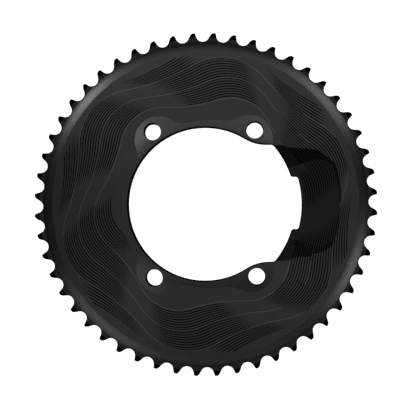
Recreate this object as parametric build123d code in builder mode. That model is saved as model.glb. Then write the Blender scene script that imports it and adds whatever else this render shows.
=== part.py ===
"""Outer chainring of a two-ring road crank, machined in one piece from aluminium plate.

The ring axis is Z and the outer face looks up. The four bolt seats on the back lie in z = 0,
and +X points along the crank arm, which crosses the ring in the recess on that side.
"""

import os
from math import atan2, cos, degrees, pi, radians, sin, sqrt, tan

from build123d import *

os.makedirs("parts", exist_ok=True)

# Chain and teeth
tooth_count = 52
chain_pitch = 12.7
roller_seat_radius = 4.15
roller_seat_offset = 0.23  # seat centre outside the pitch circle
drive_flank_angle = 18.0  # steep side of a tooth, measured from the radius
trail_flank_angle = 31.0  # sloping side of a tooth
tip_height = 1.68  # tooth tip above the pitch circle
tip_corner_height = 1.15  # cut off the sloping side of the tip
tip_corner_angle = 52.0
tooth_thickness = 1.85
tip_bevel_length = 2.6
tip_bevel_height = 1.25  # cut from the outer face, so the tips lean towards the inner ring

# Shift gates, where the chain climbs onto the ring
gate_count = 4
first_gate_angle = 45.0
gate_tooth_trim = 0.5
ramp_length = 17.0
ramp_width = 4.0
ramp_depth = 0.7
ramp_lean = 14.0  # turn of a ramp from the tangent
ramp_inset = 8.0  # ramp centre inside the pitch circle
ramp_lead = 6.0  # angle from a gate tooth back to its ramp

# Rim and coned disc
tooth_back_height = 0.6  # back of the teeth above the bolt seats
rim_plate_depth = 4.0  # pitch circle to the foot of the rim cone
rim_cone_width = 5.9
rim_cone_height = 1.45
disc_slope = 5.0
disc_wall = 2.0

# Bolts
bolt_circle_diameter = 110.0
bolt_angle = 55.0  # bolts stand at this angle on both sides of the X axis
bolt_hole_radius = 5.15
bolt_boss_radius = 9.5

# Central opening
bolt_to_bore = 7.5
bolt_to_shoulder = 8.75  # bolt centre to the edge beside the crank arm
lug_blend_radius = 26.0
shoulder_depth = 8.5  # shoulder outside the bore
shoulder_fillet = 3.0
recess_depth = 4.0  # arm recess outside the shoulder
recess_half_angle = 16.2
recess_fillet = 2.0
opening_lip = 3.5  # wall left round the opening on the back

# Smooth pads round the bolts on the outer face
pad_height = 7.2  # above the bolt seats
pad_radius = 10.8
pad_reach = 7.4  # pad edge beyond the bolt centre
pad_ring_width = 0.2  # pad ring outside the bore
pad_ring_offset = 5.0  # towards the arm, so the ring runs out on the far side
pad_blend_radius = 15.0
pad_wall_slope = 18.0

# Recess for the crank arm on the outer face
arm_floor_margin = 12.2  # disc edge to the round outer end of the flat floor
arm_floor_depth = 0.1  # below the coned face at that end
arm_floor_half_width = 24.0  # at the recess radius
arm_floor_flare = 15.0
arm_floor_corner = 10.0  # radius of its outer corners
arm_wall_slope = 12.0
arm_wall_backing = 4.0  # metal left behind the slope, outside the floor

# Terraces of the outer face, each with a wave for its edge
terrace_count = 3
terrace_inset = 8.5  # disc edge to the radius where the first wave crosses from crest to trough
terrace_spacing = 10.8
terrace_step = 0.3
waves_per_turn = 6
crest_half_arc = 40.0  # half the angle that the arc of a crest turns through
outer_crest_angle = 79.0  # on the outermost wave
wave_twist = 0.55  # degrees that the crests turn for each millimetre of radius

# Sizes worked out from those above
pitch_angle = 360 / tooth_count
pitch_radius = chain_pitch / (2 * sin(pi / tooth_count))
tip_radius = pitch_radius + tip_height
tooth_front_height = tooth_back_height + tooth_thickness
cone_foot_radius = pitch_radius - rim_plate_depth
disc_radius = cone_foot_radius - rim_cone_width
disc_edge_height = tooth_front_height + rim_cone_height
hollow_radius = disc_radius - disc_wall
bolt_radius = bolt_circle_diameter / 2
bolt_spacing_x = bolt_circle_diameter * cos(radians(bolt_angle))
bolt_spacing_y = bolt_circle_diameter * sin(radians(bolt_angle))
bore_radius = bolt_radius - bolt_to_bore
shoulder_half_height = bolt_spacing_y / 2 - bolt_to_shoulder
shoulder_radius = bore_radius + shoulder_depth
recess_radius = shoulder_radius + recess_depth
disc_rise = (disc_radius - bore_radius) * tan(radians(disc_slope))
crown_height = disc_edge_height + disc_rise + terrace_count * terrace_step
gate_angles = [first_gate_angle + gate * 360 / gate_count for gate in range(gate_count)]
tool_reach = 2.0  # cutting tools stand out this far past the faces they cut
snap = 0.01  # points closer than this are the same corner


def disc_height(radius):
    """Height of the coned outer face at a distance from the axis."""
    return disc_edge_height + (disc_radius - radius) * tan(radians(disc_slope))


def round_corners(outline, points, radius):
    """Round the corners of a sketch that lie at these points and at their mirror images in Y."""
    places = [Vector(x, side * y) for x, y in points for side in (1, -1)]
    corners = [v for v in outline.vertices() if min((Vector(v) - place).length for place in places) < snap]
    fillet(corners, radius)


def draw_flank(side, flank_angle, corner_height, corner_angle, shift):
    """Draw one side of a tooth gap on +X: roller seat, flank and the cut corner of the tip.

    side is 1 for the steep flank and -1 for the sloping one. Returns the outer end of the side.
    """
    seat_centre = (pitch_radius + roller_seat_offset, -shift)
    seat = CenterArc(seat_centre, roller_seat_radius, 180, side * (flank_angle - 90))
    start = seat @ 1
    corner_x = tip_radius - corner_height
    corner_y = start.Y + side * (corner_x - start.X) * tan(radians(flank_angle))
    outer_x = tip_radius + tool_reach
    outer_y = corner_y + side * (outer_x - corner_x) * tan(radians(corner_angle))
    Polyline(start, (corner_x, corner_y), (outer_x, outer_y))
    return (outer_x, outer_y)


def gap_sketch(trim):
    """Space between two teeth on +X; trim widens it towards the tooth before it."""
    with BuildSketch() as gap:
        with BuildLine():
            drive_end = draw_flank(1, drive_flank_angle, 0, drive_flank_angle, 0)
            trail_end = draw_flank(-1, trail_flank_angle, tip_corner_height, tip_corner_angle, trim)
            Line(drive_end, trail_end)
            if trim > 0:
                root_x = pitch_radius + roller_seat_offset - roller_seat_radius
                Line((root_x, 0), (root_x, -trim))
        make_face()
    return gap.sketch


def opening_sketch():
    """Central opening: the bore, the blends past two bolts, the shoulders and the arm recess."""
    blend_y = shoulder_half_height + lug_blend_radius
    blend_x = sqrt((bore_radius + lug_blend_radius) ** 2 - blend_y**2)
    blend_angle = degrees(atan2(blend_y, blend_x))
    shoulder_x = sqrt(shoulder_radius**2 - shoulder_half_height**2)
    shoulder_angle = degrees(atan2(shoulder_half_height, shoulder_x))
    to_step = Vector(1, 0).rotate(Axis.Z, recess_half_angle)
    with BuildSketch() as outline:
        with BuildLine():
            CenterArc((0, 0), bore_radius, 180, blend_angle - 180)
            CenterArc((blend_x, blend_y), lug_blend_radius, 180 + blend_angle, 90 - blend_angle)
            Line((blend_x, shoulder_half_height), (shoulder_x, shoulder_half_height))
            CenterArc((0, 0), shoulder_radius, shoulder_angle, recess_half_angle - shoulder_angle)
            Line(to_step * shoulder_radius, to_step * recess_radius)
            CenterArc((0, 0), recess_radius, recess_half_angle, -recess_half_angle)
            mirror(about=Plane.XZ)
        make_face()
        round_corners(outline, [(shoulder_x, shoulder_half_height)], shoulder_fillet)
        steps = [to_step * radius for radius in (shoulder_radius, recess_radius)]
        round_corners(outline, [(step.X, step.Y) for step in steps], recess_fillet)
    return outline.sketch


def draw_wave(radius, crest_angle):
    """Draw a closed wave round the axis from arcs that meet in tangents at the given radius."""
    half_wave = 180 / waves_per_turn
    first_angle = crest_angle - half_wave / 2
    joints = [
        Vector(radius, 0).rotate(Axis.Z, first_angle + step * half_wave)
        for step in range(2 * waves_per_turn)
    ]
    heading = (joints[1] - joints[0]).rotate(Axis.Z, -crest_half_arc)
    for start, end in zip(joints, joints[1:] + joints[:1]):
        arc = TangentArc(start, end, tangent=heading)
        heading = arc % 1


# Disc turned to its section: seat plane, rim land, rim cone and coned outer face
with BuildPart() as disc:
    with BuildSketch(Plane.XZ):
        Polygon(
            (0, 0),
            (hollow_radius, 0),
            (hollow_radius, tooth_back_height),
            (cone_foot_radius, tooth_back_height),
            (cone_foot_radius, tooth_front_height),
            (disc_radius, disc_edge_height),
            (0, disc_height(0)),
            align=None,
        )
    revolve(axis=Axis.Z)

# Terraces stacked on the disc, each under a cone one step above the last
terraces = []
for step in range(terrace_count):
    inward = step * terrace_spacing
    rise = (step + 1) * terrace_step
    with BuildPart() as terrace:
        with BuildSketch():
            with BuildLine():
                draw_wave(disc_radius - terrace_inset - inward, outer_crest_angle - wave_twist * inward)
            make_face()
        extrude(amount=disc_height(0) + tool_reach)
        with BuildSketch(Plane.XZ):
            Polygon(
                (0, 0),
                (disc_radius, 0),
                (disc_radius, disc_edge_height + rise),
                (0, disc_height(0) + rise),
                align=None,
            )
        revolve(axis=Axis.Z, mode=Mode.INTERSECT)
    terraces.append(terrace.part)

# Tooth plate: flat tips with a bevel on the outer face, then the gaps for the chain rollers
gate_gaps = [round(angle / pitch_angle + 0.5) for angle in gate_angles]
plain_gaps = [gap for gap in range(tooth_count) if gap not in gate_gaps]
with BuildPart() as tooth_plate:
    with BuildSketch(Plane.XY.offset(tooth_back_height)):
        RegularPolygon(tip_radius, tooth_count, major_radius=False)
    extrude(amount=tooth_thickness - tip_bevel_height)
    with BuildSketch(Plane.XY.offset(tooth_front_height - tip_bevel_height)):
        RegularPolygon(tip_radius, tooth_count, major_radius=False)
    extrude(amount=tip_bevel_height, taper=degrees(atan2(tip_bevel_length, tip_bevel_height)))
    with BuildSketch():
        for gaps, trim in ((plain_gaps, 0.0), (gate_gaps, gate_tooth_trim)):
            with Locations(*[Location((0, 0, 0), (0, 0, gap * pitch_angle)) for gap in gaps]):
                add(gap_sketch(trim))
        Circle(disc_radius)
    extrude(amount=tooth_front_height + tool_reach, mode=Mode.SUBTRACT)

# Flat pads round the bolts, joined by a narrow ring along the bore, with sloping walls
with BuildPart() as pads:
    with BuildSketch(Plane.XY.offset(pad_height)) as pad_outline:
        with Locations((pad_ring_offset, 0)):
            Circle(bore_radius + pad_ring_width)
        pad_inset = (bolt_radius + pad_reach - pad_radius) / bolt_radius
        with GridLocations(bolt_spacing_x * pad_inset, bolt_spacing_y * pad_inset, 2, 2):
            Circle(pad_radius)
        fillet(pad_outline.vertices(), pad_blend_radius)
    extrude(amount=crown_height - pad_height, taper=pad_wall_slope - 90)

# Recess for the crank arm: a flat flaring floor with a round outer end, inside a long slope
with BuildPart() as arm_recess:
    floor_reach = disc_radius - arm_floor_margin
    floor_height = disc_height(floor_reach) - arm_floor_depth
    inner_x = bore_radius / 2
    flare = tan(radians(arm_floor_flare))
    inner_y = arm_floor_half_width - (recess_radius - inner_x) * flare
    outer_y = arm_floor_half_width + (floor_reach - recess_radius) * flare
    with BuildSketch(Plane.XY.offset(floor_height)) as arm_floor:
        Circle(floor_reach)
        Polygon(
            (inner_x, inner_y),
            (inner_x, -inner_y),
            (floor_reach, -outer_y),
            (floor_reach, outer_y),
            align=None,
            mode=Mode.INTERSECT,
        )
        across = arm_floor.vertices().sort_by(Axis.Y)
        fillet([across[0], across[-1]], arm_floor_corner)
    extrude(amount=crown_height - floor_height, taper=arm_wall_slope - 90)

# Hollow of the back, which leaves the disc wall, a lip round the opening and the bolt bosses
with BuildPart() as hollow:
    roof_radius = hollow_radius - disc_wall
    with BuildSketch(Plane.XZ):
        Polygon(
            (0, disc_height(0) - disc_wall),
            (0, -tool_reach),
            (hollow_radius, -tool_reach),
            (hollow_radius, tooth_back_height),
            (roof_radius, disc_height(roof_radius) - disc_wall),
            align=None,
        )
    revolve(axis=Axis.Z)
    with BuildSketch(Plane.XY.offset(floor_height - disc_wall)):
        Rectangle(disc_radius, 2 * (outer_y + arm_wall_backing), align=(Align.MIN, Align.CENTER))
    extrude(amount=disc_height(0), mode=Mode.SUBTRACT)
    with BuildSketch(Plane.XY.offset(-2 * tool_reach)):
        Circle(recess_radius + opening_lip)
        Rectangle(
            recess_radius + opening_lip,
            2 * (shoulder_half_height + opening_lip),
            align=(Align.MIN, Align.CENTER),
            mode=Mode.INTERSECT,
        )
        Circle(bore_radius + opening_lip)
        with GridLocations(bolt_spacing_x, bolt_spacing_y, 2, 2):
            Circle(bolt_boss_radius)
    extrude(amount=disc_height(0) + 2 * tool_reach, mode=Mode.SUBTRACT)

# The ring: disc, terraces, hollow back, pads, arm recess, opening, bolt holes, teeth and shift ramps
with BuildPart() as chainring:
    add(disc.part)
    add(terraces)
    add(hollow.part, mode=Mode.SUBTRACT)
    add(pads.part, mode=Mode.SUBTRACT)
    add(arm_recess.part, mode=Mode.SUBTRACT)
    with BuildSketch(Plane.XY.offset(-tool_reach)):
        add(opening_sketch())
        with GridLocations(bolt_spacing_x, bolt_spacing_y, 2, 2):
            Circle(bolt_hole_radius)
    extrude(amount=disc_height(0) + 2 * tool_reach, mode=Mode.SUBTRACT)
    add(tooth_plate.part)
    with BuildSketch(Plane.XY.offset(tooth_back_height + ramp_depth)):
        for angle in gate_angles:
            with PolarLocations(pitch_radius - ramp_inset, 1, start_angle=angle - ramp_lead):
                Rectangle(ramp_length, ramp_width, rotation=90 + ramp_lean)
    extrude(amount=-ramp_depth - tool_reach, mode=Mode.SUBTRACT)

chainring.part.label = "chainring"
export_step(chainring.part, "parts/chainring.step")
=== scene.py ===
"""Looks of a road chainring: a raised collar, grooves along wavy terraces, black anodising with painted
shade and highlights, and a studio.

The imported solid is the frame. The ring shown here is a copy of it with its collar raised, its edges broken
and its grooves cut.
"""

from enum import IntEnum
from math import cos, pi, radians, sin, tan
from typing import NamedTuple

import bmesh
import bpy
import numpy as np
from mathutils import Matrix, Vector
from mathutils.bvhtree import BVHTree


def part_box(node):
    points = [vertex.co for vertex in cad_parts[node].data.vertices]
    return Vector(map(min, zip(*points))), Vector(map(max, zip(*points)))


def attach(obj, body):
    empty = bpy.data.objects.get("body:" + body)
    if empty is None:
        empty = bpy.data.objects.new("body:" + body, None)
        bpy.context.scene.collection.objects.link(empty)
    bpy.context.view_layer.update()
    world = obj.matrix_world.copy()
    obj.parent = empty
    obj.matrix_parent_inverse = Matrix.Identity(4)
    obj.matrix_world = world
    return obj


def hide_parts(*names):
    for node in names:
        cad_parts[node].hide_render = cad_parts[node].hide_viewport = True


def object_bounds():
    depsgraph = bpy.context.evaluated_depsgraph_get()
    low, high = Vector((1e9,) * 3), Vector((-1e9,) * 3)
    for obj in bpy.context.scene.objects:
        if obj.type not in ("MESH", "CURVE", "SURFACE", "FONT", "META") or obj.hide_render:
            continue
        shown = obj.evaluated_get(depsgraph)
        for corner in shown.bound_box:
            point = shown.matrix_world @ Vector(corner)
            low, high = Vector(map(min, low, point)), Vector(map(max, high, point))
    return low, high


bl_info = {
    "name": "Chainring",
    "version": (1, 0, 0),
    "blender": (4, 5, 0),
    "location": "View3D > Sidebar > Chainring",
    "description": "Cuts the grooves of a chainring, finishes it in black and lights it",
    "category": "Add Mesh",
}

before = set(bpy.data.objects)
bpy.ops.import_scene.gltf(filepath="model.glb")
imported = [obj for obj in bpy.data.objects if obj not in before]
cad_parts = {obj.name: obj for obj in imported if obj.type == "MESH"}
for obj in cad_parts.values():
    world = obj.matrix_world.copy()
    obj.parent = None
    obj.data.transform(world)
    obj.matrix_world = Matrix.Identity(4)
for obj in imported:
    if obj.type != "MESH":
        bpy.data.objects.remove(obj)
CAD_BOX = [list(corner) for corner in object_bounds()]
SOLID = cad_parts["chainring"]
RING_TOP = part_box("chainring")[1].z

MM = 0.001
UP = Vector((0, 0, 1))
WHITE = (1.0, 1.0, 1.0, 1.0)
BACK = radians(90)  # azimuth of the top of the picture
FRONT = radians(270)  # azimuth of its bottom

# How the surfaces of the solid are told apart
WELD = 0.002 * MM  # points this close are one
FACING_UP = 0.5  # least upward part of the normal of a face that looks up
UPRIGHT = 0.1  # most upward part of the normal of an upright wall
THROUGH = 2.0 * MM  # walls that reach below this height go through the ring
SLOPE_MATCH = radians(2)  # how closely the walls of the bolt pads keep to their slope

# How the cutters are made
PROBE_HEIGHT = 1.0  # height from which the outer face is looked for
CLEAR = 0.15 * MM  # how far the cutter of an edge stands clear of the faces beside it
MITRE_LIMIT = 1.0  # keeps the mitres of sharp corners short
OVERSHOOT = 0.5  # how far the cutter of a groove stands above the face, as a share of its depth
GROOVE_TRACE = 0.04  # share of its full size at which a groove begins
INNER_CORE = 0.6  # share of an inner group in which its grooves have their full size
INNER_RUNOUT = 1.5 * MM  # width over which the inner groups grow from their limit
LEAST_GROWTH = 2  # how many times the faces of the solid a grooved ring has at least

# How the surfaces of the cut ring are told apart
FLAT = radians(1)  # flats lean less
DISC_LEAN = radians(9)  # the disc leans less, the rim and the wall of the recess more
RECESS_WALL_LEAN = radians(15)  # the wall of the recess leans less
RIM_LEAN = radians(18)  # the rim leans less
STEEP = radians(22)  # upright walls and edge breaks lean more
CHANNEL_LEAN = radians(30)  # floors of the channels with the painted highlight lean less
SHARP = radians(8)  # edges that turn by more stay sharp
DISC_MARGIN = 0.01 * MM  # faces this close to the disc edge belong to the rim
TOOTH_HEIGHT = 2.0 * MM  # outer faces of the teeth lie higher
DISC_HEIGHT = 3.0 * MM  # the disc lies higher
RECESS_HEIGHT = 4.5 * MM  # the floor of the recess lies higher

# How the finish is mixed
MEAN_NOISE = 0.5
MATTE_MARGIN = 0.01  # tones this close to that of the painted shade of the edges are matte


class Kind(IntEnum):
    """What made a face of the ring, kept as its material index until the ring gets its one finish."""

    UNCUT = 0
    GROOVE = 1
    CHANNEL = 2
    COLLAR = 3
    EDGE = 4


class Corner(NamedTuple):
    """A softbox at a corner of the set: where it stands, its share of the power and its side length."""

    name: str
    azimuth: float
    share: float
    side: float


CORNERS = (
    Corner("softbox_back_left", azimuth=radians(139), share=0.7, side=0.2),
    Corner("softbox_back_right", azimuth=radians(44), share=0.54, side=0.3),
    Corner("softbox_front_left", azimuth=radians(224), share=0.38, side=0.4),
    Corner("softbox_front_right", azimuth=radians(335), share=0.54, side=0.3),
)


class RingSizes(bpy.types.PropertyGroup):
    """Sizes of the machined face, which follow the terraces of the solid."""

    disc_radius: bpy.props.FloatProperty(
        name="Disc radius",
        description="Where the grooved face ends and the rim cone begins",
        default=95.27 * MM,
        unit="LENGTH",
    )
    disc_slope: bpy.props.FloatProperty(
        name="Disc slope",
        description="Fall of the disc towards its edge",
        default=radians(5.0),
        unit="ROTATION",
    )
    rim_slope: bpy.props.FloatProperty(
        name="Rim slope",
        description="Fall of the rim cone from the disc edge to the tooth roots",
        default=radians(13.8),
        unit="ROTATION",
    )
    rim_width: bpy.props.FloatProperty(
        name="Rim width",
        description="Width of the rim cone",
        default=5.9 * MM,
        unit="LENGTH",
    )
    rim_crown: bpy.props.FloatProperty(
        name="Rim crown",
        description="How much steeper the rim is shaded at its foot than in its middle",
        default=radians(3.0),
        unit="ROTATION",
    )
    pad_height: bpy.props.FloatProperty(
        name="Pad height",
        description="Height of the bolt pads of the solid",
        default=7.2 * MM,
        unit="LENGTH",
    )
    pad_wall_slope: bpy.props.FloatProperty(
        name="Pad wall slope",
        description="Slope of the walls of those pads",
        default=radians(18.0),
        unit="ROTATION",
    )
    bore_radius: bpy.props.FloatProperty(
        name="Bore radius",
        description="Where the collar round the bore and the bolts begins",
        default=47.5 * MM,
        unit="LENGTH",
    )
    collar_width: bpy.props.FloatProperty(
        name="Collar width",
        description="Distance over which the collar falls to its full slope",
        default=9.0 * MM,
        unit="LENGTH",
    )
    collar_slope: bpy.props.FloatProperty(
        name="Collar slope",
        description="Slope of the collar at its foot",
        default=radians(12.0),
        unit="ROTATION",
    )
    terrace_inset: bpy.props.FloatProperty(
        name="Terrace inset",
        description="Disc edge to the radius where the outermost wave crosses from crest to trough",
        default=8.5 * MM,
        unit="LENGTH",
    )
    terrace_spacing: bpy.props.FloatProperty(
        name="Terrace spacing",
        description="Radius between one terrace edge and the next",
        default=10.8 * MM,
        unit="LENGTH",
    )
    terrace_count: bpy.props.IntProperty(
        name="Terraces",
        description="Wavy steps of the outer face",
        default=3,
    )
    waves_per_turn: bpy.props.IntProperty(
        name="Waves per turn",
        description="Crests on one terrace edge",
        default=6,
    )
    crest_half_arc: bpy.props.FloatProperty(
        name="Crest half arc",
        description="Half the angle that the arc of a crest turns through",
        default=radians(40.0),
        unit="ROTATION",
    )
    outer_crest_angle: bpy.props.FloatProperty(
        name="Outer crest angle",
        description="Angle of a crest on the outermost terrace edge",
        default=radians(79.0),
        unit="ROTATION",
    )
    wave_twist: bpy.props.FloatProperty(
        name="Wave twist",
        description="Degrees that the crests turn for each millimetre of radius",
        default=0.55,
    )
    grooves_per_terrace: bpy.props.IntProperty(
        name="Grooves per terrace",
        description="Fine grooves between two terrace edges",
        default=8,
    )
    groove_share: bpy.props.FloatProperty(
        name="Groove share",
        description="Width of a groove as a share of the distance to its neighbour",
        default=0.395,
        subtype="FACTOR",
    )
    groove_steepness: bpy.props.FloatProperty(
        name="Groove steepness",
        description="Depth of a groove as a share of its width",
        default=0.9,
        subtype="FACTOR",
    )
    groove_points: bpy.props.IntProperty(
        name="Groove points",
        description="Points along one turn of a groove",
        default=420,
    )
    groove_start: bpy.props.FloatProperty(
        name="Groove start",
        description="Where the grooves between the terrace edges begin, after their crest",
        default=radians(-10.0),
        unit="ROTATION",
    )
    groove_end: bpy.props.FloatProperty(
        name="Groove end",
        description="Where the grooves between the terrace edges end, after their crest",
        default=radians(36.0),
        unit="ROTATION",
    )
    outer_start: bpy.props.FloatProperty(
        name="Outer groove start",
        description="Where the grooves outside the outermost terrace edge begin, after their crest",
        default=radians(10.0),
        unit="ROTATION",
    )
    outer_end: bpy.props.FloatProperty(
        name="Outer groove end",
        description="Where the grooves outside the outermost terrace edge end, after their crest",
        default=radians(43.0),
        unit="ROTATION",
    )
    groove_runout: bpy.props.FloatProperty(
        name="Groove run-out",
        description="Angle over which a groove grows to its full depth",
        default=radians(8.0),
        unit="ROTATION",
    )
    inner_group_angle: bpy.props.FloatVectorProperty(
        name="Inner group angle",
        description="Middle of the two groups of grooves inside the innermost terrace edge",
        subtype="EULER",
        size=2,
        default=(radians(190.0), radians(6.0)),
    )
    inner_group_half_angle: bpy.props.FloatVectorProperty(
        name="Inner group half angle",
        description="Reach of those groups to each side",
        subtype="EULER",
        size=2,
        default=(radians(24.0), radians(15.0)),
    )
    inner_group_limit: bpy.props.FloatVectorProperty(
        name="Inner group limit",
        description="Radius inside which those groups stop",
        subtype="XYZ_LENGTH",
        size=2,
        default=(52.0 * MM, 61.2 * MM),
    )
    channel_gap: bpy.props.FloatProperty(
        name="Channel gap",
        # Terrace edge to the channel on top of it, which carries a painted highlight
        description="Terrace edge to the burnished channel on top of it",
        default=0.12 * MM,
        unit="LENGTH",
    )
    channel_width: bpy.props.FloatProperty(
        name="Channel width",
        # Width of the channel with the painted highlight
        description="Width of the burnished channel",
        default=0.45 * MM,
        unit="LENGTH",
    )
    channel_depth: bpy.props.FloatProperty(
        name="Channel depth",
        # Depth of the channel with the painted highlight
        description="Depth of the burnished channel",
        default=0.06 * MM,
        unit="LENGTH",
    )
    channel_points: bpy.props.IntProperty(
        name="Channel points",
        description="Points along one turn of a channel",
        default=840,
    )
    recess_start: bpy.props.FloatProperty(
        name="Recess start",
        description="Distance along X where the crank arm recess begins",
        default=42.0 * MM,
        unit="LENGTH",
    )
    recess_end: bpy.props.FloatProperty(
        name="Recess end",
        description="Distance from the axis of the outer end of the recess",
        default=83.5 * MM,
        unit="LENGTH",
    )
    recess_half_width: bpy.props.FloatProperty(
        name="Recess half width",
        description="Half the width of the recess, which has no channels",
        default=36.0 * MM,
        unit="LENGTH",
    )
    rim_fade: bpy.props.FloatProperty(
        name="Rim fade",
        description="Plain band inside the disc edge, where the grooves have run out",
        default=2.0 * MM,
        unit="LENGTH",
    )
    rim_runout: bpy.props.FloatProperty(
        name="Rim run-out",
        description="Width next to that band over which the grooves grow to their full size",
        default=1.0 * MM,
        unit="LENGTH",
    )
    edge_break: bpy.props.FloatProperty(
        name="Edge break",
        description="Width taken off the edges of the opening, the holes and the tooth gaps",
        default=0.45 * MM,
        unit="LENGTH",
    )
    edge_steepness: bpy.props.FloatProperty(
        name="Edge steepness",
        description="Depth of an edge break as a share of its width",
        default=0.8,
        subtype="FACTOR",
    )
    edge_limit: bpy.props.FloatProperty(
        name="Edge limit",
        description="Distance from the axis beyond which the edges of the teeth stay sharp",
        default=103.6 * MM,
        unit="LENGTH",
    )


class RingFinishAndShade(bpy.types.PropertyGroup):
    """Black anodised finish: a dark metal, and how much each surface of it reflects, with painted shade on
    the grooves, edges, steep walls, tooth tips, the band at the tooth roots and the recess, and a painted
    highlight on the channels.
    """

    dark: bpy.props.FloatVectorProperty(
        name="Dark",
        description="Deepest black of the anodised metal",
        subtype="COLOR",
        size=4,
        default=(0.036, 0.036, 0.0365, 1.0),
    )
    pale: bpy.props.FloatVectorProperty(
        name="Pale",
        description="Thinner anodising, where more of the metal glints through",
        subtype="COLOR",
        size=4,
        default=(0.058, 0.058, 0.0585, 1.0),
    )
    cloud_scale: bpy.props.FloatProperty(
        name="Cloud scale",
        description="Clouds of thinner anodising along a metre",
        default=28.0,
    )
    cloud_share: bpy.props.FloatProperty(
        name="Cloud share",
        description="Share of the clouds in the change from dark to pale",
        default=0.6,
        subtype="FACTOR",
    )
    cloud_satin: bpy.props.FloatProperty(
        name="Cloud satin",
        description="How far the clouds change the roughness",
        default=0.06,
        subtype="FACTOR",
    )
    grain_scale: bpy.props.FloatProperty(
        name="Grain scale",
        description="Grains of the blasted metal along a metre",
        default=1900.0,
    )
    grain_share: bpy.props.FloatProperty(
        name="Grain share",
        description="Share of the grain in the change from dark to pale",
        default=0.4,
        subtype="FACTOR",
    )
    grain_satin: bpy.props.FloatProperty(
        name="Grain satin",
        description="How far the grain changes the roughness",
        default=0.16,
        subtype="FACTOR",
    )
    grain_relief: bpy.props.FloatProperty(
        name="Grain relief",
        description="How strongly the grain is felt in the shading",
        default=0.12,
        subtype="FACTOR",
    )
    grain_depth: bpy.props.FloatProperty(
        name="Grain depth",
        description="Depth of the grain",
        default=0.02 * MM,
        unit="LENGTH",
    )
    roughness: bpy.props.FloatProperty(
        name="Roughness",
        description="Satin of the anodised metal",
        default=0.27,
        subtype="FACTOR",
    )
    groove_shade: bpy.props.FloatProperty(
        name="Groove tone",
        # Painted shade in the grooves: reflection of their walls beside that of the open face
        description="Reflection of the groove walls beside that of the open face",
        default=0.05,
    )
    channel_highlight: bpy.props.FloatProperty(
        name="Channel tone",
        # Painted highlight on the channels: their reflection beside that of the open face
        description="Reflection of the burnished channels beside that of the open face",
        default=2.1,
    )
    edge_shade: bpy.props.FloatProperty(
        name="Edge tone",
        # Painted shade on edge breaks, tooth tips and steep walls: how much they reflect
        description="Reflection of edge breaks, tooth tips and steep walls",
        default=0.05,
    )
    plate_tone: bpy.props.FloatProperty(
        name="Plate tone",
        description="Reflection of the flat faces of the teeth",
        default=0.7,
    )
    band_shade: bpy.props.FloatProperty(
        name="Band tone",
        # Painted shade on the band at the tooth roots: its reflection beside that of the rim
        description="Reflection of the band at the tooth roots beside that of the rim",
        default=0.7,
    )
    band_start: bpy.props.FloatProperty(
        name="Band start",
        # Distance from the axis where the painted shade of the rim begins
        description="Distance from the axis where the rim begins to darken",
        default=98.6 * MM,
        unit="LENGTH",
    )
    band_end: bpy.props.FloatProperty(
        name="Band end",
        # Distance from the axis where the painted shade of the band is full
        description="Distance from the axis where the band has its full tone",
        default=100.6 * MM,
        unit="LENGTH",
    )
    tip_start: bpy.props.FloatProperty(
        name="Tip start",
        # Distance from the axis where the painted shade of the teeth begins to turn them black
        description="Distance from the axis where the teeth begin to turn black",
        default=103.3 * MM,
        unit="LENGTH",
    )
    tip_end: bpy.props.FloatProperty(
        name="Tip end",
        # Distance from the axis where the teeth are painted black in shade
        description="Distance from the axis where the teeth are black",
        default=103.9 * MM,
        unit="LENGTH",
    )
    collar_tone: bpy.props.FloatProperty(
        name="Collar tone",
        description="Reflection of the collar round the bore and the bolts",
        default=1.05,
    )
    recess_floor_shade: bpy.props.FloatProperty(
        name="Recess floor tone",
        # Painted shade on the floor of the crank arm recess: how much it reflects
        description="Reflection of the floor of the crank arm recess",
        default=0.36,
    )
    recess_wall_shade: bpy.props.FloatProperty(
        name="Recess wall tone",
        # Painted shade on the long slope round the crank arm recess: how much it reflects
        description="Reflection of the long slope round the crank arm recess",
        default=0.2,
    )


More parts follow.
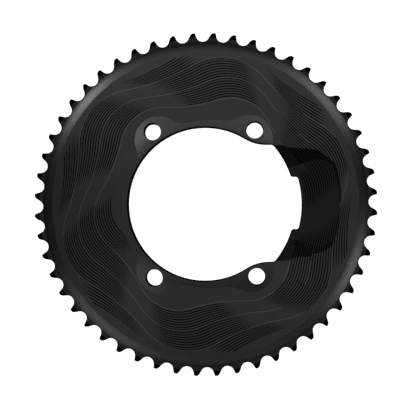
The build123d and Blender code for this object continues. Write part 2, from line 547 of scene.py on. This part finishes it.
class StudioSettings(bpy.types.PropertyGroup):
    """Camera, lights and floor."""

    camera_offset: bpy.props.FloatVectorProperty(
        name="Camera offset",
        description="Camera from the point that it looks at",
        subtype="TRANSLATION",
        size=3,
        default=(28.4 * MM, -11.0 * MM, 699.0 * MM),
    )
    camera_aim: bpy.props.FloatVectorProperty(
        name="Camera aim",
        description="Point in the middle of the picture",
        subtype="TRANSLATION",
        size=3,
        default=(1.88 * MM, -2.41 * MM, 2.0 * MM),
    )
    camera_roll: bpy.props.FloatProperty(
        name="Camera roll",
        description="Turn of the ring in the picture",
        default=radians(0.784),
        unit="ROTATION",
    )
    lens: bpy.props.FloatProperty(
        name="Lens",
        description="Focal length in millimetres",
        default=97.4,
        unit="CAMERA",
    )
    sensor: bpy.props.FloatProperty(
        name="Sensor",
        description="Width of the sensor in millimetres",
        default=36.0,
        unit="CAMERA",
    )
    corner_zenith: bpy.props.FloatProperty(
        name="Corner zenith",
        description="Angle of the corner softboxes from straight above",
        default=radians(41.0),
        unit="ROTATION",
    )
    corner_distance: bpy.props.FloatProperty(
        name="Corner distance",
        description="Corner softboxes from the ring",
        default=1.2,
        unit="LENGTH",
    )
    corner_power: bpy.props.FloatProperty(
        name="Corner power",
        description="Power of which each corner softbox has its share",
        default=2.2,
        unit="POWER",
    )
    overhead_distance: bpy.props.FloatProperty(
        name="Overhead distance",
        description="Overhead softbox and strips from the ring",
        default=1.3,
        unit="LENGTH",
    )
    overhead_zenith: bpy.props.FloatProperty(
        name="Overhead zenith",
        description="Lean of the overhead softbox towards the top of the picture",
        default=radians(-1.5),
        unit="ROTATION",
    )
    overhead_size: bpy.props.FloatVectorProperty(
        name="Overhead size",
        description="Width and height of the overhead softbox",
        subtype="XYZ_LENGTH",
        size=2,
        default=(1.0, 0.9),
    )
    overhead_power: bpy.props.FloatProperty(
        name="Overhead power",
        description="Power of the overhead softbox",
        default=1.5,
        unit="POWER",
    )
    back_zenith: bpy.props.FloatProperty(
        name="Back strip zenith",
        description="Angle of the strip at the top of the picture from straight above",
        default=radians(29.0),
        unit="ROTATION",
    )
    back_size: bpy.props.FloatVectorProperty(
        name="Back strip size",
        description="Width and height of that strip",
        subtype="XYZ_LENGTH",
        size=2,
        default=(1.0, 0.36),
    )
    back_power: bpy.props.FloatProperty(
        name="Back strip power",
        description="Power of that strip",
        default=1.15,
        unit="POWER",
    )
    front_zenith: bpy.props.FloatProperty(
        name="Front strip zenith",
        description="Angle of the strip at the bottom of the picture from straight above",
        default=radians(36.0),
        unit="ROTATION",
    )
    front_size: bpy.props.FloatVectorProperty(
        name="Front strip size",
        description="Width and height of that strip",
        subtype="XYZ_LENGTH",
        size=2,
        default=(1.0, 0.22),
    )
    front_power: bpy.props.FloatProperty(
        name="Front strip power",
        description="Power of that strip",
        default=0.38,
        unit="POWER",
    )
    surround: bpy.props.FloatProperty(
        name="Surround",
        description="Grey of the room round the set",
        default=0.1,
    )
    floor_reach: bpy.props.FloatProperty(
        name="Floor reach",
        description="Floor from its middle to each side",
        default=6.0,
        unit="LENGTH",
    )
    floor_paper: bpy.props.FloatVectorProperty(
        name="Floor paper",
        description="Colour of the pale floor",
        subtype="COLOR",
        size=4,
        default=(0.8, 0.8, 0.8, 1.0),
    )
    floor_roughness: bpy.props.FloatProperty(
        name="Floor roughness",
        description="Roughness of the pale floor",
        default=0.9,
        subtype="FACTOR",
    )
    floor_glow: bpy.props.FloatProperty(
        name="Floor glow",
        description="Light that the pale floor gives by itself, as a light table does",
        default=1.0,
    )


def feed(tree, socket, value):
    """Link a socket to a value, or set it to a plain number or colour."""
    if isinstance(value, Value):
        tree.links.new(value.socket, socket)
    else:
        socket.default_value = value


class Value:
    """A socket whose arithmetic adds Math nodes."""

    def __init__(self, tree, socket):
        self.tree = tree
        self.socket = socket

    def _math(self, operation, *operands):
        node = self.tree.nodes.new("ShaderNodeMath")
        node.operation = operation
        for socket, operand in zip(node.inputs, operands):
            feed(self.tree, socket, operand)
        return Value(self.tree, node.outputs["Value"])

    def __add__(self, other):
        return self._math("ADD", self, other)

    __radd__ = __add__

    def __sub__(self, other):
        return self._math("SUBTRACT", self, other)

    def __rsub__(self, other):
        return self._math("SUBTRACT", other, self)

    def __mul__(self, other):
        return self._math("MULTIPLY", self, other)

    __rmul__ = __mul__

    def __gt__(self, other):
        return self._math("GREATER_THAN", self, other)


class Finish:
    """A material and the nodes that are added to it."""

    def __init__(self, name):
        self.material = bpy.data.materials.new(name)
        self.material.use_nodes = True
        self.tree = self.material.node_tree
        self.tree.nodes.clear()

    def node(self, kind, settings=None, **sockets):
        """Add a node: its settings first, then the values or links of its sockets by name."""
        node = self.tree.nodes.new(kind)
        for name, value in (settings or {}).items():
            setattr(node, name, value)
        for name, value in sockets.items():
            feed(self.tree, node.inputs[name.replace("_", " ")], value)
        return node

    def out(self, node, name):
        """One of the outputs of a node, ready for arithmetic."""
        return Value(self.tree, node.outputs[name])

    def noise(self, place, scale, detail, roughness):
        """Noise from 0 to 1 over the surface, with its scale in features per metre."""
        node = self.node("ShaderNodeTexNoise", Vector=place, Scale=scale, Detail=detail, Roughness=roughness)
        return self.out(node, "Fac")

    def step(self, value, low, high):
        """Straight rise from 0 at the low value to 1 at the high one."""
        node = self.node("ShaderNodeMapRange", Value=value, From_Min=low, From_Max=high)
        return self.out(node, "Result")

    def mix(self, factor, first, second):
        """Blend of two colours, whose sockets share their names with others and are found by identifier."""
        node = self.node("ShaderNodeMix", {"data_type": "RGBA", "clamp_factor": True})
        inputs = {socket.identifier: socket for socket in node.inputs}
        outputs = {socket.identifier: socket for socket in node.outputs}
        for name, value in (("Factor_Float", factor), ("A_Color", first), ("B_Color", second)):
            feed(self.tree, inputs[name], value)
        return Value(self.tree, outputs["Result_Color"])


def rise(value, low, high):
    """Smooth step from 0 at the low value to 1 at the high one."""
    share = np.clip((value - low) / (high - low), 0, 1)
    return share * share * (3 - 2 * share)


def terrace_radii(sizes):
    """Radii of the terrace edges, from the outside in."""
    outer = sizes.disc_radius - sizes.terrace_inset
    return [outer - step * sizes.terrace_spacing for step in range(sizes.terrace_count)]


def crest_angle(radius, sizes):
    """Angle of a crest on the wave of this radius, turned as the terraces are."""
    outer = sizes.disc_radius - sizes.terrace_inset
    return sizes.outer_crest_angle + radians(sizes.wave_twist) * (radius - outer) / MM


def wave_reach(angle, radius, sizes):
    """Distance from the axis of a wave at each angle; its arcs meet in tangents at the given radius."""
    quarter = pi / (2 * sizes.waves_per_turn)
    trough_half_arc = sizes.crest_half_arc - 2 * quarter
    half_chord = radius * sin(quarter)
    middle = radius * cos(quarter)
    crest_arc = half_chord / sin(sizes.crest_half_arc)
    trough_arc = half_chord / sin(trough_half_arc)
    crest_centre = middle - crest_arc * cos(sizes.crest_half_arc)
    trough_centre = middle + trough_arc * cos(trough_half_arc)
    phase = np.mod(angle - crest_angle(radius, sizes) + quarter, 4 * quarter) - quarter
    on_crest = phase <= quarter
    turn = np.where(on_crest, phase, phase - 2 * quarter)
    crest = crest_centre * np.cos(turn) + np.sqrt(crest_arc**2 - (crest_centre * np.sin(turn)) ** 2)
    trough = trough_centre * np.cos(turn) - np.sqrt(trough_arc**2 - (trough_centre * np.sin(turn)) ** 2)
    return np.where(on_crest, crest, trough)


def collar_share(radius, sizes):
    """How far the collar has turned to its full slope at a distance from the axis."""
    return np.clip((radius - sizes.bore_radius) / sizes.collar_width, 0, 1)


def raise_collar(form, sizes):
    """Mark the bolt pads and their walls, and lift them to a collar that rounds off to the disc."""
    for face in form.faces:
        middle = face.calc_center_median()
        lean = face.normal.angle(UP)
        level = abs(middle.z - sizes.pad_height) < WELD
        wall = abs(lean - sizes.pad_wall_slope) < SLOPE_MATCH and middle.z > sizes.pad_height
        if level or wall:
            face.material_index = Kind.COLLAR
    for vert in form.verts:
        shown = {face.material_index for face in vert.link_faces if face.normal.z > FACING_UP}
        level = abs(vert.co.z - sizes.pad_height) < WELD
        if shown == {Kind.COLLAR} or (level and Kind.COLLAR in shown):
            radius = vert.co.xy.length
            disc = RING_TOP - (radius - sizes.bore_radius) * tan(sizes.disc_slope)
            fall = collar_share(radius, sizes) ** 2 * sizes.collar_width * tan(sizes.collar_slope) / 2
            share = min((vert.co.z - sizes.pad_height) / (disc - sizes.pad_height), 1)
            vert.co.z = (1 - share) * (RING_TOP - fall) + share * disc
    form.normal_update()


def ring_form(sizes):
    """Copy of the solid as one closed mesh, with its collar raised."""
    form = bmesh.new()
    form.from_mesh(SOLID.data)
    bmesh.ops.remove_doubles(form, verts=form.verts, dist=WELD)
    raise_collar(form, sizes)
    return form


class Course:
    """A closed wavy line round the ring, shifted inward, with the outward direction at each point."""

    def __init__(self, radius, sizes, points, shift=0.0):
        self.angle = np.arange(points) * 2 * pi / points
        self.reach = wave_reach(self.angle, radius, sizes)
        line = np.stack([self.reach * np.cos(self.angle), self.reach * np.sin(self.angle)], axis=1)
        along = np.roll(line, -1, axis=0) - np.roll(line, 1, axis=0)
        along /= np.linalg.norm(along, axis=1)[:, None]
        self.across = np.stack([along[:, 1], -along[:, 0]], axis=1)
        self.square = (self.across * line).sum(axis=1) / self.reach
        self.path = line - self.across * shift


class Rim:
    """A closed line inside a top edge of the ring, with the mitred way into the metal at each point."""

    def __init__(self, corners, inset):
        line = np.array([corner.co.xy for corner in corners])
        ahead = np.roll(line, -1, axis=0) - line
        ahead /= np.linalg.norm(ahead, axis=1)[:, None]
        inward = np.stack([-ahead[:, 1], ahead[:, 0]], axis=1)
        both = inward + np.roll(inward, 1, axis=0)
        self.across = 2 * both / np.maximum((both**2).sum(axis=1), MITRE_LIMIT)[:, None]
        self.path = line + self.across * inset
        self.reach = np.hypot(line[:, 0], line[:, 1])


def top_rims(form, inset):
    """Lines along the edges where the outer face meets the walls of the opening, the holes and the teeth."""
    following = {}
    for edge in form.edges:
        for loop in edge.link_loops:
            wall = loop.link_loop_radial_next.face
            through = min(vert.co.z for vert in wall.verts) < THROUGH
            if loop.face.normal.z > FACING_UP and abs(wall.normal.z) < UPRIGHT and through:
                following[loop.vert] = loop.link_loop_next.vert
    rims = []
    while following:
        corners = [next(iter(following))]
        while corners[-1] in following:
            corners.append(following.pop(corners[-1]))
        if corners[0] is not corners[-1]:
            raise RuntimeError("a top edge of the ring is not closed")
        rims.append(Rim(corners[:-1], inset))
    return rims


def sweep(cutter, surface, course, profiles, shown, kind):
    """Add a prism for each shown stretch of the course, with its section on the surface at each point."""
    count = len(shown)
    closed = bool(shown.all())
    starts = [0] if closed else [index for index in range(count) if shown[index] and not shown[index - 1]]
    for start in starts:
        rows = []
        for step in range(count):
            index = (start + step) % count
            if not shown[index]:
                break
            hit = surface.ray_cast(Vector((*course.path[index], PROBE_HEIGHT)), -UP)[0]
            section = [
                (*(course.path[index] + course.across[index] * offset), hit.z + height)
                for offset, height in profiles[index]
            ]
            rows.append([cutter.verts.new(corner) for corner in section])
        made = [] if closed else [cutter.faces.new(rows[0]), cutter.faces.new(rows[-1])]
        for row, following in zip(rows, rows[1:] + (rows[:1] if closed else [])):
            for corner in range(len(row)):
                after = (corner + 1) % len(row)
                made.append(cutter.faces.new((row[corner], row[after], following[after], following[corner])))
        for face in made:
            face.material_index = kind


def face_outward(cutter):
    """Turn the faces of a cutter outward and split them into triangles."""
    bmesh.ops.recalc_face_normals(cutter, faces=cutter.faces)
    bmesh.ops.triangulate(cutter, faces=cutter.faces)


def edge_cutter(form, surface, sizes):
    """Prisms of triangular section along the top edges of the opening, the holes and the tooth gaps."""
    cutter = bmesh.new()
    half = sizes.edge_break / 2
    steep = sizes.edge_steepness
    reach = half + CLEAR
    section = [(reach, steep * CLEAR), (-reach, steep * CLEAR), (-reach, -steep * (half + reach))]
    for rim in top_rims(form, half):
        sweep(cutter, surface, rim, [section] * len(rim.path), rim.reach < sizes.edge_limit, Kind.EDGE)
    face_outward(cutter)
    return cutter


def inner_window(course, sizes):
    """Share of a groove inside the innermost terrace edge that is cut at each point."""
    window = np.zeros_like(course.angle)
    groups = zip(sizes.inner_group_angle, sizes.inner_group_half_angle, sizes.inner_group_limit)
    for middle, half, limit in groups:
        turn = np.abs(np.mod(course.angle - middle + pi, 2 * pi) - pi)
        group = rise(-turn, -half, -INNER_CORE * half) * rise(course.reach, limit, limit + INNER_RUNOUT)
        window = np.maximum(window, group)
    return window


def groove_window(course, radius, sizes):
    """Share of a groove's full size that is cut at each point: a group after each crest."""
    outermost, *_, innermost = terrace_radii(sizes)
    first, last = sizes.groove_start, sizes.groove_end
    if radius > outermost:
        first, last = sizes.outer_start, sizes.outer_end
    wave = 2 * pi / sizes.waves_per_turn
    after_crest = np.mod(course.angle - crest_angle(radius, sizes) - first, wave)
    window = rise(after_crest, 0, sizes.groove_runout)
    window *= rise(-after_crest, first - last, first - last + sizes.groove_runout)
    window *= rise(sizes.disc_radius - course.reach, sizes.rim_fade, sizes.rim_fade + sizes.rim_runout)
    if radius < innermost:
        window *= inner_window(course, sizes)
    return window


def groove_section(wide, deep):
    """Section of a groove's cutter: a V that has the groove's width at the face and stands above it."""
    top = (1 + OVERSHOOT) * wide / 2
    return [(-top, OVERSHOOT * deep), (top, OVERSHOOT * deep), (0.0, -deep)]


def add_grooves(cutter, surface, sizes):
    """Add prisms of V section that follow the terraces from inside the innermost edge to the rim."""
    pitch = sizes.terrace_spacing / sizes.grooves_per_terrace
    innermost = terrace_radii(sizes)[-1]
    count = int((sizes.disc_radius - innermost) / pitch)
    for index in range(-sizes.grooves_per_terrace, count):
        radius = innermost + (index + 0.5) * pitch
        course = Course(radius, sizes, sizes.groove_points)
        spread = wave_reach(course.angle, radius + pitch / 2, sizes)
        spread -= wave_reach(course.angle, radius - pitch / 2, sizes)
        window = groove_window(course, radius, sizes)
        width = sizes.groove_share * spread * course.square * window
        depth = sizes.groove_steepness * width
        profiles = [groove_section(wide, deep) for wide, deep in zip(width, depth)]
        sweep(cutter, surface, course, profiles, window > GROOVE_TRACE, Kind.GROOVE)


def add_channels(cutter, surface, sizes):
    """Add flat prisms on top of the terrace edges, outside the recess, for the channels that carry a painted
    highlight.
    """
    half = sizes.channel_width / 2
    deep = sizes.channel_depth
    section = [(-half, deep), (half, deep), (half, -deep), (-half, -deep)]
    profiles = [section] * sizes.channel_points
    for radius in terrace_radii(sizes):
        course = Course(radius, sizes, sizes.channel_points, sizes.channel_gap + half)
        recess = (course.path[:, 0] > sizes.recess_start) & (course.reach < sizes.recess_end)
        recess &= np.abs(course.path[:, 1]) < sizes.recess_half_width
        sweep(cutter, surface, course, profiles, ~recess, Kind.CHANNEL)


def groove_cutter(surface, sizes):
    """Prisms for the grooves and for the channels of the painted highlight."""
    cutter = bmesh.new()
    add_grooves(cutter, surface, sizes)
    add_channels(cutter, surface, sizes)
    face_outward(cutter)
    return cutter


def as_object(name, form):
    """Object in the scene made from a bmesh, which is freed."""
    mesh = bpy.data.meshes.new(name)
    form.to_mesh(mesh)
    form.free()
    thing = bpy.data.objects.new(name, mesh)
    bpy.context.scene.collection.objects.link(thing)
    return thing


def cut_away(body, tool, finish):
    """Subtract a closed mesh from another, keep what each face was made by, and remove the tool."""
    for thing in (body, tool):
        while len(thing.data.materials) < len(Kind):
            thing.data.materials.append(finish)
    cut = body.modifiers.new("cut", "BOOLEAN")
    cut.object = tool
    cut.operation = "DIFFERENCE"
    cut.solver = "MANIFOLD"
    bpy.context.view_layer.update()
    whole = body.evaluated_get(bpy.context.evaluated_depsgraph_get())
    mesh = bpy.data.meshes.new_from_object(whole)
    body.modifiers.clear()
    body.data = mesh
    bpy.data.objects.remove(tool)
    form = bmesh.new()
    form.from_mesh(mesh)
    bmesh.ops.dissolve_degenerate(form, dist=WELD, edges=form.edges)
    form.to_mesh(mesh)
    form.free()


def split_faces(mesh):
    """Split the faces into triangles, and take out pairs of triangles that lie on each other."""
    form = bmesh.new()
    form.from_mesh(mesh)
    bmesh.ops.triangulate(form, faces=form.faces)
    alike = {}
    for face in form.faces:
        alike.setdefault(frozenset(face.verts), []).append(face)
    folded = [face for pair in alike.values() if len(pair) > 1 for face in pair]
    bmesh.ops.delete(form, geom=folded, context="FACES")
    form.to_mesh(mesh)
    form.free()


def read(items, name, width=1, kind=np.float64):
    """One property of all items of a mesh, with a row for each item where it has several numbers."""
    values = np.empty(len(items) * width, dtype=kind)
    items.foreach_get(name, values)
    return values.reshape(-1, width) if width > 1 else values


class Faces:
    """The faces of the cut ring: what made them, how they lean and which surface they belong to."""

    def __init__(self, mesh, sizes):
        self.kind = read(mesh.polygons, "material_index", kind=np.int32)
        normal = read(mesh.polygons, "normal", 3)
        centre = read(mesh.polygons, "center", 3)
        self.lean = np.arccos(np.clip(normal[:, 2], -1, 1))
        height = centre[:, 2]
        flat = self.lean < FLAT
        edge = self.kind == Kind.EDGE
        disc = np.hypot(centre[:, 0], centre[:, 1]) < sizes.disc_radius - DISC_MARGIN
        arm_side = disc & (centre[:, 0] > sizes.recess_start)
        self.groove = self.kind == Kind.GROOVE
        self.channel = (self.kind == Kind.CHANNEL) & (self.lean < CHANNEL_LEAN)
        self.collar = (self.kind == Kind.COLLAR) & (self.lean < STEEP)
        self.steep = ((self.lean > STEEP) & (self.kind != Kind.CHANNEL)) | edge
        self.plate = ~disc & flat & (height > TOOTH_HEIGHT)
        self.rim = ~disc & self.leans(DISC_LEAN, RIM_LEAN)
        self.recess_floor = arm_side & flat & (height > RECESS_HEIGHT) & ~self.collar
        self.recess_wall = arm_side & self.leans(DISC_LEAN, RECESS_WALL_LEAN)
        others = self.collar | self.recess_floor | self.groove | edge
        self.dome = disc & (self.lean < DISC_LEAN) & (height > DISC_HEIGHT) & ~others

    def leans(self, low, high):
        """Faces whose slope lies between two angles."""
        return (self.lean >= low) & (self.lean < high)


def tone_faces(mesh, faces, finish):
    """Store on each face how much it reflects, with painted shade on the recess, the steep walls, the edge
    breaks and the grooves, and a painted highlight on the channels.
    """
    tone = np.ones(len(faces.kind), dtype=np.float32)
    tone[faces.collar] = finish.collar_tone
    # painted shade: the floor of the recess is darker
    tone[faces.recess_floor] = finish.recess_floor_shade
    # painted shade: the slope round the recess is darker
    tone[faces.recess_wall] = finish.recess_wall_shade
    tone[faces.plate] = finish.plate_tone
    # painted shade: steep walls and edge breaks are nearly black
    tone[faces.steep] = finish.edge_shade
    # painted shade: the groove walls are nearly black
    tone[faces.groove] = finish.groove_shade
    # painted highlight: the channels are lighter than the open face
    tone[faces.channel] *= finish.channel_highlight
    mesh.attributes.new("tone", "FLOAT", "FACE").data.foreach_set("value", tone)


def shade_cones(mesh, faces, sizes):
    """Shade the disc as a true cone, the rim as a crowned one, flats as flat and the collar as rounded."""
    mesh.shade_smooth()
    mesh.set_sharp_from_angle(angle=SHARP)
    normal = read(mesh.corner_normals, "vector", 3)
    place = read(mesh.vertices, "co", 3)[read(mesh.loops, "vertex_index", kind=np.int32)]
    corners = read(mesh.polygons, "loop_total", kind=np.int32)
    reach = np.hypot(place[:, 0], place[:, 1])
    outward = place[:, :2] / reach[:, None]
    across_rim = 2 * (reach - sizes.disc_radius) / sizes.rim_width - 1
    slopes = (
        (faces.dome, sizes.disc_slope),
        (faces.rim, sizes.rim_slope + across_rim * sizes.rim_crown),
        (faces.recess_floor | faces.plate, 0.0),
        (faces.collar, (1 + np.sqrt(collar_share(reach, sizes))) / 2 * sizes.collar_slope),
    )
    for surface, slope in slopes:
        chosen = np.repeat(surface, corners)
        lean = np.broadcast_to(slope, len(reach))[chosen]
        normal[chosen, :2] = outward[chosen] * np.sin(lean)[:, None]
        normal[chosen, 2] = np.cos(lean)
    mesh.normals_split_custom_set(normal.tolist())


def black_anodising_and_painted_light(finish):
    """Satin black anodised aluminium with a fine grain; painted shade darkens the rim towards the tooth
    roots and turns the tooth tips black, the walls, edge breaks and grooves painted black in shade are
    matte, and the painted shade and highlight of the faces come in as their tone.
    """
    made = Finish("black_anodising_and_painted_light")
    place = made.out(made.node("ShaderNodeTexCoord"), "Object")
    cloud = made.noise(place, finish.cloud_scale, detail=3.0, roughness=0.5)
    grain = made.noise(place, finish.grain_scale, detail=2.0, roughness=0.6)
    reach = made.out(made.node("ShaderNodeVectorMath", {"operation": "LENGTH"}, Vector=place), "Value")
    band = made.step(reach, finish.band_start, finish.band_end)
    tip = made.step(reach, finish.tip_start, finish.tip_end)
    tone = made.out(made.node("ShaderNodeAttribute", {"attribute_name": "tone"}), "Fac")
    # painted shade: the rim darkens towards the tooth roots
    tone = tone * (1 - (1 - finish.band_shade) * band)
    # painted shade: the tooth tips turn black
    tone = tone * (1 - (1 - finish.edge_shade) * tip)
    thin = cloud * finish.cloud_share + grain * finish.grain_share
    metal = made.mix(thin, tuple(finish.dark), tuple(finish.pale))
    colour = made.node("ShaderNodeVectorMath", {"operation": "SCALE"}, Vector=metal, Scale=tone)
    grain_change = (grain - MEAN_NOISE) * finish.grain_satin
    cloud_change = (cloud - MEAN_NOISE) * finish.cloud_satin
    bump = made.node(
        "ShaderNodeBump",
        Height=grain,
        Strength=finish.grain_relief,
        Distance=finish.grain_depth,
    )
    shader = made.node(
        "ShaderNodeBsdfPrincipled",
        Base_Color=made.out(colour, "Vector"),
        Metallic=tone > finish.edge_shade + MATTE_MARGIN,
        Roughness=finish.roughness + grain_change + cloud_change,
        Normal=made.out(bump, "Normal"),
        Specular_IOR_Level=0.0,
    )
    made.node("ShaderNodeOutputMaterial", Surface=made.out(shader, "BSDF"))
    return made.material


class CHAINRING_OT_machine_ring(bpy.types.Operator):
    """Raise the collar of the ring, break its edges, cut its grooves, and anodise it black with painted
    shade and highlights
    """

    bl_idname = "chainring.machine_ring"
    bl_label = "Machine ring"

    def execute(self, context):
        sizes = context.scene.ring_sizes
        form = ring_form(sizes)
        surface = BVHTree.FromBMesh(form)
        edges = edge_cutter(form, surface, sizes)
        grooves = groove_cutter(surface, sizes)
        finish = black_anodising_and_painted_light(context.scene.ring_finish)
        ring = as_object("grooved_ring", form)
        cut_away(ring, as_object("edge_cutter", edges), finish)
        cut_away(ring, as_object("groove_cutter", grooves), finish)
        if len(ring.data.polygons) < LEAST_GROWTH * len(SOLID.data.polygons):
            raise RuntimeError("the grooves could not be cut")
        split_faces(ring.data)
        faces = Faces(ring.data, sizes)
        ring.data.materials.clear()
        ring.data.materials.append(finish)
        tone_faces(ring.data, faces, context.scene.ring_finish)
        shade_cones(ring.data, faces, sizes)
        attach(ring, "root")
        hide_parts("chainring")
        return {"FINISHED"}


def lay_floor(studio):
    """Pale floor that gives light by itself."""
    plane = bmesh.new()
    bmesh.ops.create_grid(plane, x_segments=1, y_segments=1, size=studio.floor_reach)
    floor = as_object("floor", plane)
    floor.location.z = CAD_BOX[0][2]
    paper = Finish("floor_paper")
    shader = paper.node(
        "ShaderNodeBsdfPrincipled",
        Base_Color=tuple(studio.floor_paper),
        Roughness=studio.floor_roughness,
        Emission_Color=WHITE,
        Emission_Strength=studio.floor_glow,
    )
    paper.node("ShaderNodeOutputMaterial", Surface=paper.out(shader, "BSDF"))
    floor.data.materials.append(paper.material)


def aim(thing, place, target):
    """Put a camera or light at a place so that it looks at a target."""
    back = (Vector(place) - Vector(target)).normalized()
    side = Vector((0, 1, 0)).cross(back).normalized()
    turn = Matrix((side, back.cross(side), back)).transposed()
    thing.matrix_world = Matrix.Translation(place) @ turn.to_4x4()


def softbox(name, azimuth, zenith, distance, size, power):
    """Area light of a width and a height that faces the ring."""
    light = bpy.data.lights.new(name, "AREA")
    light.shape = "RECTANGLE"
    light.size, light.size_y = size
    light.energy = power
    lamp = bpy.data.objects.new(name, light)
    bpy.context.scene.collection.objects.link(lamp)
    place = Vector((sin(zenith) * cos(azimuth), sin(zenith) * sin(azimuth), cos(zenith))) * distance
    aim(lamp, place, (0, 0, 0))


def place_lights(studio):
    """Corner softboxes for the rim, one overhead for the disc, and strips at the back and the front."""
    for corner in CORNERS:
        size = (corner.side, corner.side)
        power = studio.corner_power * corner.share
        softbox(corner.name, corner.azimuth, studio.corner_zenith, studio.corner_distance, size, power)
    for name, azimuth, zenith, size, power in (
        ("softbox_overhead", BACK, studio.overhead_zenith, studio.overhead_size, studio.overhead_power),
        ("strip_back", BACK, studio.back_zenith, studio.back_size, studio.back_power),
        ("strip_front", FRONT, studio.front_zenith, studio.front_size, studio.front_power),
    ):
        softbox(name, azimuth, zenith, studio.overhead_distance, size, power)


def grey_room(studio):
    """World of one grey round the set."""
    world = bpy.data.worlds.new("studio_grey")
    world.use_nodes = True
    grey = studio.surround
    world.node_tree.nodes["Background"].inputs["Color"].default_value = (grey, grey, grey, 1.0)
    return world


def place_camera(studio):
    """Camera at the angle of the photograph."""
    camera = bpy.data.objects.new("camera", bpy.data.cameras.new("camera"))
    bpy.context.scene.collection.objects.link(camera)
    camera.data.lens = studio.lens
    camera.data.sensor_width = studio.sensor
    target = Vector(studio.camera_aim)
    aim(camera, target + Vector(studio.camera_offset), target)
    camera.matrix_world = camera.matrix_world @ Matrix.Rotation(-studio.camera_roll, 4, "Z")
    return camera


class CHAINRING_OT_set_stage(bpy.types.Operator):
    """Lay the pale floor, place the softboxes and the camera"""

    bl_idname = "chainring.set_stage"
    bl_label = "Set stage"

    def execute(self, context):
        scene = context.scene
        studio = scene.studio_settings
        lay_floor(studio)
        place_lights(studio)
        scene.world = grey_room(studio)
        scene.camera = place_camera(studio)
        scene.view_settings.view_transform = "Standard"
        return {"FINISHED"}


class CHAINRING_PT_panel(bpy.types.Panel):
    """Steps of the chainring, in order"""

    bl_idname = "CHAINRING_PT_panel"
    bl_label = "Chainring"
    bl_space_type = "VIEW_3D"
    bl_region_type = "UI"
    bl_category = "Chainring"

    def draw(self, context):
        for step in STEPS:
            self.layout.operator(step.bl_idname)
        for group in GROUPS:
            settings = getattr(context.scene, group)
            for name in settings.bl_rna.properties.keys():
                if name not in ("rna_type", "name"):
                    self.layout.prop(settings, name)


STEPS = (CHAINRING_OT_machine_ring, CHAINRING_OT_set_stage)
GROUPS = {"ring_sizes": RingSizes, "ring_finish": RingFinishAndShade, "studio_settings": StudioSettings}
CLASSES = (*GROUPS.values(), *STEPS, CHAINRING_PT_panel)


def register():
    """Add the classes, and the settings of the scene."""
    for kind in CLASSES:
        bpy.utils.register_class(kind)
    for name, group in GROUPS.items():
        setattr(bpy.types.Scene, name, bpy.props.PointerProperty(type=group))


def unregister():
    """Take the settings and the classes away again."""
    for name in GROUPS:
        delattr(bpy.types.Scene, name)
    for kind in reversed(CLASSES):
        bpy.utils.unregister_class(kind)


def main():
    """Make the ring and its stage."""
    register()
    bpy.ops.chainring.machine_ring()
    bpy.ops.chainring.set_stage()


if __name__ == "__main__":
    main()
